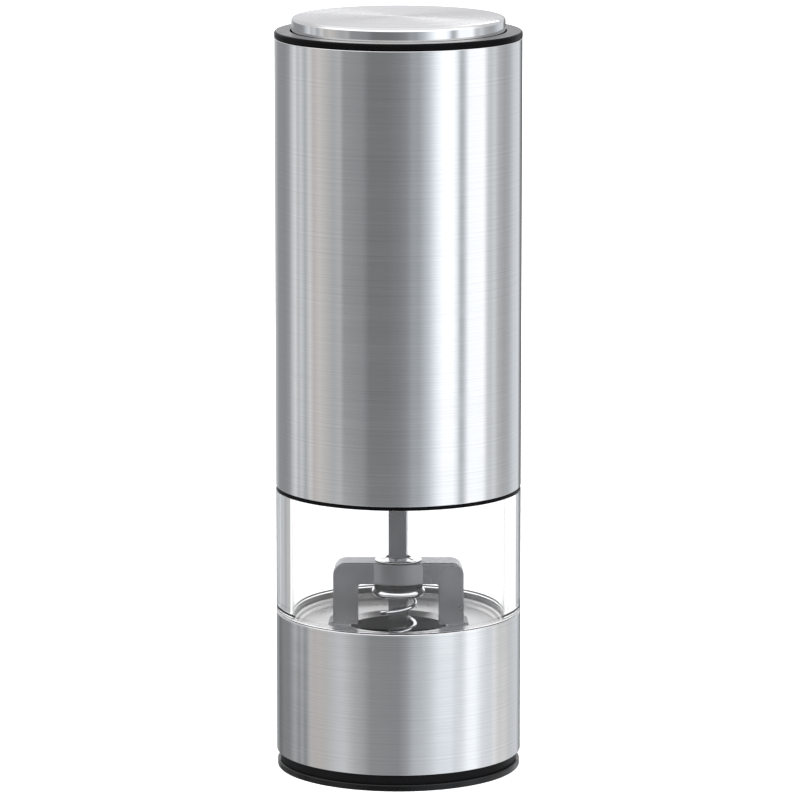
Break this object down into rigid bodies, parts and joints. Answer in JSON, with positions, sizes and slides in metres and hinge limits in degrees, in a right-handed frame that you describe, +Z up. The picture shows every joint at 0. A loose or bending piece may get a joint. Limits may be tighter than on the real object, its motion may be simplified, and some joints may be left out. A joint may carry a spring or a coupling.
{
  "type": "electric pepper grinder",
  "caption": "Cylindrical battery pepper grinder with brushed steel sleeves, clear hopper window showing the yoke, drive shaft and spring, push button on top and dust cap below.",
  "frame": {"origin": "centre of the dust cap's flat underside, which the grinder stands on", "axes": "+Z up along the drive shaft to the push button; the picture's camera looks along +Y; +X to the right in it"},
  "size_m": [0.054, 0.054, 0.1665],
  "materials": {
    "brushed_steel": "fine round brushing, satin",
    "polished_steel": "polished",
    "clear_plastic": "clear, polished",
    "gloss_black": "glossy",
    "satin_black": "satin",
    "graphite": "fine matt",
    "cast_grey": "satin",
    "metallic_grey": "satin metallic",
    "mid_steel": "satin",
    "ceramic_white": "matt",
    "seal_rubber": "matt",
    "spring_steel": "bright",
    "plain_steel": "plain zinc plated",
    "white_nylon": "matt",
    "brass": "turned",
    "magnet": "matt",
    "copper_iron": "varnished",
    "cell_wrap": "glossy plain wrap",
    "contact_metal": "nickel plated",
    "board_green": "satin"
  },
  "bodies": {
    "lower_unit": {"grinder_base": "graphite", "lower_sleeve": "brushed_steel", "hopper_wall": "clear_plastic", "seal_ring": "seal_rubber", "hopper_floor": "metallic_grey", "yoke": "cast_grey", "yoke_screws": "plain_steel", "shaft_bush": "brass", "outer_burr": "ceramic_white"},
    "drive_shaft": {"drive_shaft": "mid_steel", "shaft_clip": "polished_steel", "spring_cup": "polished_steel"},
    "burr": {"burr_spring": "spring_steel", "inner_burr": "ceramic_white", "burr_carrier": "graphite"},
    "knob": {"adjust_knob": "satin_black"},
    "dust_cap": {"dust_cap": "gloss_black"},
    "power_unit": {"chassis": "satin_black", "gearbox_housing": "graphite", "motor_plate": "plain_steel", "gearbox_screws": "plain_steel", "motor_screws": "plain_steel", "motor_can": "plain_steel", "motor_magnets": "magnet", "motor_end": "satin_black", "motor_terminals": "contact_metal", "battery_carrier": "graphite", "carrier_screws": "plain_steel", "battery_cells": "cell_wrap", "contact_springs": "spring_steel", "lower_contacts": "contact_metal", "upper_contacts": "contact_metal", "supply_rails": "contact_metal", "switch_board": "board_green", "switch_body": "satin_black"},
    "rotor": {"rotor": "copper_iron", "sun_gear": "brass"},
    "first_stage": {"first_carrier": "white_nylon"},
    "first_planet_a": {"first_planet_a": "white_nylon"},
    "first_planet_b": {"first_planet_b": "white_nylon"},
    "first_planet_c": {"first_planet_c": "white_nylon"},
    "output": {"output_carrier": "white_nylon", "output_coupling": "satin_black"},
    "second_planet_a": {"second_planet_a": "white_nylon"},
    "second_planet_b": {"second_planet_b": "white_nylon"},
    "second_planet_c": {"second_planet_c": "white_nylon"},
    "switch_key": {"switch_key": "white_nylon"},
    "sleeve": {"upper_sleeve": "brushed_steel", "top_collar": "satin_black", "button_guide": "graphite"},
    "button": {"button_cap": "polished_steel", "button_core": "graphite", "button_spring": "spring_steel"}
  },
  "joints": [
    {"name": "motor_spin", "type": "hinge", "parent": "power_unit", "child": "rotor", "pos_m": [0, 0, 0.079], "axis": [0, 0, 1], "continuous": true},
    {"name": "first_stage_turn", "type": "hinge", "parent": "power_unit", "child": "first_stage", "pos_m": [0, 0, 0.075], "axis": [0, 0, 1], "continuous": true},
    {"name": "output_turn", "type": "hinge", "parent": "power_unit", "child": "output", "pos_m": [0, 0, 0.067], "axis": [0, 0, 1], "continuous": true},
    {"name": "shaft_turn", "type": "hinge", "parent": "lower_unit", "child": "drive_shaft", "pos_m": [0, 0, 0.044], "axis": [0, 0, 1], "continuous": true},
    {"name": "first_planet_a_spin", "type": "hinge", "parent": "first_stage", "child": "first_planet_a", "pos_m": [0.009, 0, 0.078], "axis": [0, 0, 1], "continuous": true},
    {"name": "second_planet_a_spin", "type": "hinge", "parent": "output", "child": "second_planet_a", "pos_m": [0.009, 0, 0.0715], "axis": [0, 0, 1], "continuous": true},
    {"name": "first_planet_b_spin", "type": "hinge", "parent": "first_stage", "child": "first_planet_b", "pos_m": [-0.0045, 0.00779, 0.078], "axis": [0, 0, 1], "continuous": true},
    {"name": "second_planet_b_spin", "type": "hinge", "parent": "output", "child": "second_planet_b", "pos_m": [-0.0045, 0.00779, 0.0715], "axis": [0, 0, 1], "continuous": true},
    {"name": "first_planet_c_spin", "type": "hinge", "parent": "first_stage", "child": "first_planet_c", "pos_m": [-0.0045, -0.00779, 0.078], "axis": [0, 0, 1], "continuous": true},
    {"name": "second_planet_c_spin", "type": "hinge", "parent": "output", "child": "second_planet_c", "pos_m": [-0.0045, -0.00779, 0.0715], "axis": [0, 0, 1], "continuous": true},
    {"name": "burr_lift", "type": "slide", "parent": "drive_shaft", "child": "burr", "axis": [0, 0, 1], "range_m": [-0.00035, 0.00035], "deforming": ["burr_spring"]},
    {"name": "grind_setting", "type": "hinge", "parent": "burr", "child": "knob", "pos_m": [0, 0, 0.007], "axis": [0, 0, 1], "range_deg": [-180, 180]},
    {"name": "dust_cap_off", "type": "slide", "parent": "lower_unit", "child": "dust_cap", "axis": [0, 0, -1], "range_m": [0, 0.03]},
    {"name": "power_unit_lift", "type": "slide", "parent": "lower_unit", "child": "power_unit", "axis": [0, 0, 1], "range_m": [0, 0.045]},
    {"name": "sleeve_lift", "type": "slide", "parent": "power_unit", "child": "sleeve", "axis": [0, 0, 1], "range_m": [0, 0.105]},
    {"name": "button_press", "type": "slide", "parent": "sleeve", "child": "button", "axis": [0, 0, -1], "range_m": [0, 0.0009], "stiffness_N_per_m": 1500, "springref_m": -0.001, "deforming": ["button_spring"]},
    {"name": "switch_press", "type": "slide", "parent": "power_unit", "child": "switch_key", "axis": [0, 0, -1], "range_m": [0, 0.0009]}
  ],
  "couplings": [
    {"joint": "output_turn", "follows": "shaft_turn", "ratio": 1},
    {"joint": "first_stage_turn", "follows": "shaft_turn", "ratio": 5},
    {"joint": "motor_spin", "follows": "shaft_turn", "ratio": 25},
    {"joint": "first_planet_a_spin", "follows": "shaft_turn", "ratio": -13.333},
    {"joint": "second_planet_a_spin", "follows": "shaft_turn", "ratio": -2.6667},
    {"joint": "first_planet_b_spin", "follows": "shaft_turn", "ratio": -13.333},
    {"joint": "second_planet_b_spin", "follows": "shaft_turn", "ratio": -2.6667},
    {"joint": "first_planet_c_spin", "follows": "shaft_turn", "ratio": -13.333},
    {"joint": "second_planet_c_spin", "follows": "shaft_turn", "ratio": -2.6667},
    {"joint": "grind_setting", "follows": "burr_lift", "rad_per_m": 8976},
    {"joint": "switch_press", "follows": "button_press", "ratio": 1}
  ]
}
